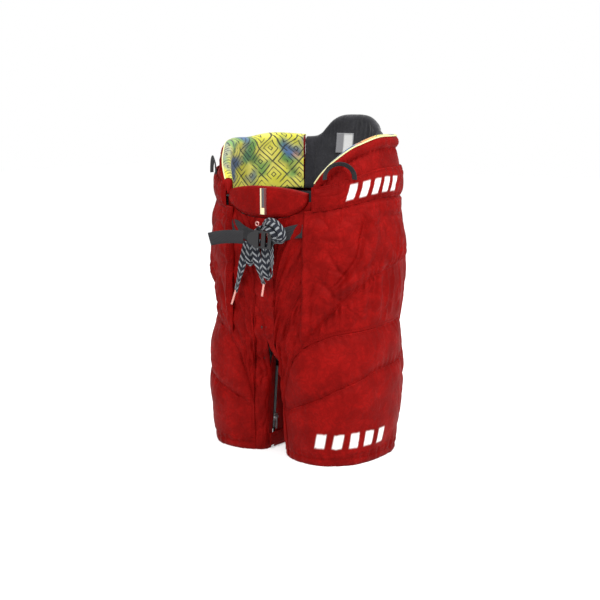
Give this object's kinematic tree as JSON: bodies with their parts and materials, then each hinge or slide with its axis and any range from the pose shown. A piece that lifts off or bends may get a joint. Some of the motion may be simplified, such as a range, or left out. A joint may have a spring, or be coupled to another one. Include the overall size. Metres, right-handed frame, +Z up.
{
  "type": "hockey pants",
  "caption": "Padded hockey pants for a junior: raised kidney pads, belly pad, webbing belt with ladder-lock buckle, laced fly and two hinged thigh guards with inner zips.",
  "frame": {"origin": "bottom centre of the overall box, on the floor under the hems; the laces are not counted", "axes": "+Z up, +X to the wearer's left, -Y towards the wearer's front; the garment is left-right symmetric about X = 0"},
  "size_m": [0.316, 0.267, 0.52],
  "materials": {
    "red_nylon": "matte woven nylon",
    "dark_binding": "ribbed binding tape",
    "printed_lining": "smooth printed knit",
    "charcoal_knit": "soft brushed knit",
    "dark_lining": "plain woven lining",
    "dark_mesh": "open knit mesh",
    "guard_plastic": "moulded polyethylene",
    "foam": "closed-cell foam",
    "grey_webbing": "herringbone webbing",
    "striped_lace": "flat woven lace, diagonal stripes",
    "aglet_plastic": "clear film tip",
    "buckle_plastic": "moulded acetal",
    "eyelet_metal": "plated",
    "zip_teeth": "moulded teeth on tape",
    "zip_metal": "dark plated"
  },
  "bodies": {
    "trunk": {"hip_panel_left": "red_nylon", "hip_panel_right": "red_nylon", "seat_panel_left": "red_nylon", "seat_panel_right": "red_nylon", "kidney_pad_left": "red_nylon", "kidney_pad_right": "red_nylon", "kidney_lining_left": "printed_lining", "kidney_lining_right": "printed_lining", "hip_cap_left": "guard_plastic", "hip_cap_right": "guard_plastic", "hip_foam_left": "foam", "hip_foam_right": "foam", "front_panel": "red_nylon", "fly_flap": "red_nylon", "fly_eyelets": "eyelet_metal", "waist_band": "red_nylon", "spine_pad": "charcoal_knit", "tailbone_pad": "foam", "trunk_lining": "dark_lining", "crotch_gusset": "dark_mesh", "belt_strap_left": "grey_webbing", "belt_strap_right": "grey_webbing", "lace_knot": "striped_lace", "lace_aglets": "aglet_plastic", "lace_end_left": "striped_lace", "lace_end_right": "striped_lace", "lace_loop_left": "striped_lace", "lace_loop_right": "striped_lace"},
    "belly_pad": {"belly_pad": "red_nylon"},
    "belt_buckle": {"belt_buckle": "buckle_plastic"},
    "belt_tail": {"belt_tail": "grey_webbing"},
    "hanger_loop_left": {"hanger_loop_left": "grey_webbing"},
    "leg_left": {"thigh_upper_panel_left": "red_nylon", "thigh_lower_panel_left": "red_nylon", "leg_back_panel_left": "red_nylon", "inner_thigh_panel_left": "red_nylon", "thigh_guard_left": "guard_plastic", "thigh_foam_left": "foam", "leg_lining_left": "dark_lining", "zip_chain_left": "zip_teeth", "snap_stud_left": "zip_metal"},
    "zip_slider_left": {"zip_slider_left": "zip_metal"},
    "zip_pull_left": {"zip_pull_left": "zip_metal"},
    "snap_tab_left": {"snap_tab_left": "dark_binding", "snap_cap_left": "zip_metal"},
    "hanger_loop_right": {"hanger_loop_right": "grey_webbing"},
    "leg_right": {"thigh_upper_panel_right": "red_nylon", "thigh_lower_panel_right": "red_nylon", "leg_back_panel_right": "red_nylon", "inner_thigh_panel_right": "red_nylon", "thigh_guard_right": "guard_plastic", "thigh_foam_right": "foam", "leg_lining_right": "dark_lining", "zip_chain_right": "zip_teeth", "snap_stud_right": "zip_metal"},
    "zip_slider_right": {"zip_slider_right": "zip_metal"},
    "zip_pull_right": {"zip_pull_right": "zip_metal"},
    "snap_tab_right": {"snap_tab_right": "dark_binding", "snap_cap_right": "zip_metal"}
  },
  "joints": [
    {"name": "leg_swing_left", "type": "hinge", "parent": "trunk", "child": "leg_left", "pos_m": [0, 0.0133, 0.31], "axis": [-1, 0, 0], "range_deg": [-15, 35]},
    {"name": "zip_slide_left", "type": "slide", "parent": "leg_left", "child": "zip_slider_left", "axis": [-0.0698, 0, 0.9976], "range_m": [0, 0.065]},
    {"name": "zip_pull_swing_left", "type": "hinge", "parent": "zip_slider_left", "child": "zip_pull_left", "pos_m": [0.01272, -0.0467, 0.04961], "axis": [0, 1, 0], "range_deg": [0, 15]},
    {"name": "snap_tab_open_left", "type": "hinge", "parent": "leg_left", "child": "snap_tab_left", "pos_m": [0.01578, -0.0597, 0.016], "axis": [0, 0, 1], "range_deg": [0, 14]},
    {"name": "hanger_loop_fold_left", "type": "hinge", "parent": "trunk", "child": "hanger_loop_left", "pos_m": [0.11803, -0.06422, 0.431], "axis": [0.7667, 0.642, 0], "range_deg": [0, 70]},
    {"name": "leg_swing_right", "type": "hinge", "parent": "trunk", "child": "leg_right", "pos_m": [0, 0.0133, 0.31], "axis": [-1, 0, 0], "range_deg": [-15, 35]},
    {"name": "zip_slide_right", "type": "slide", "parent": "leg_right", "child": "zip_slider_right", "axis": [0.0698, 0, 0.9976], "range_m": [0, 0.065]},
    {"name": "zip_pull_swing_right", "type": "hinge", "parent": "zip_slider_right", "child": "zip_pull_right", "pos_m": [-0.01272, -0.0467, 0.04961], "axis": [0, -1, 0], "range_deg": [0, 15]},
    {"name": "snap_tab_open_right", "type": "hinge", "parent": "leg_right", "child": "snap_tab_right", "pos_m": [-0.01578, -0.0597, 0.016], "axis": [0, 0, -1], "range_deg": [0, 14]},
    {"name": "hanger_loop_fold_right", "type": "hinge", "parent": "trunk", "child": "hanger_loop_right", "pos_m": [-0.11803, -0.06422, 0.431], "axis": [0.7667, -0.642, 0], "range_deg": [0, 70]},
    {"name": "belly_pad_fold", "type": "hinge", "parent": "trunk", "child": "belly_pad", "pos_m": [0, -0.0937, 0.372], "axis": [1, 0, 0], "range_deg": [0, 35]},
    {"name": "belt_buckle_tilt", "type": "hinge", "parent": "trunk", "child": "belt_buckle", "pos_m": [0.0225, -0.1037, 0.3375], "axis": [0, 0, 1], "range_deg": [0, 12]},
    {"name": "belt_tail_lift", "type": "hinge", "parent": "belt_buckle", "child": "belt_tail", "pos_m": [-0.01748, -0.11638, 0.34043], "axis": [0, 0, 1], "range_deg": [0, 45]}
  ]
}
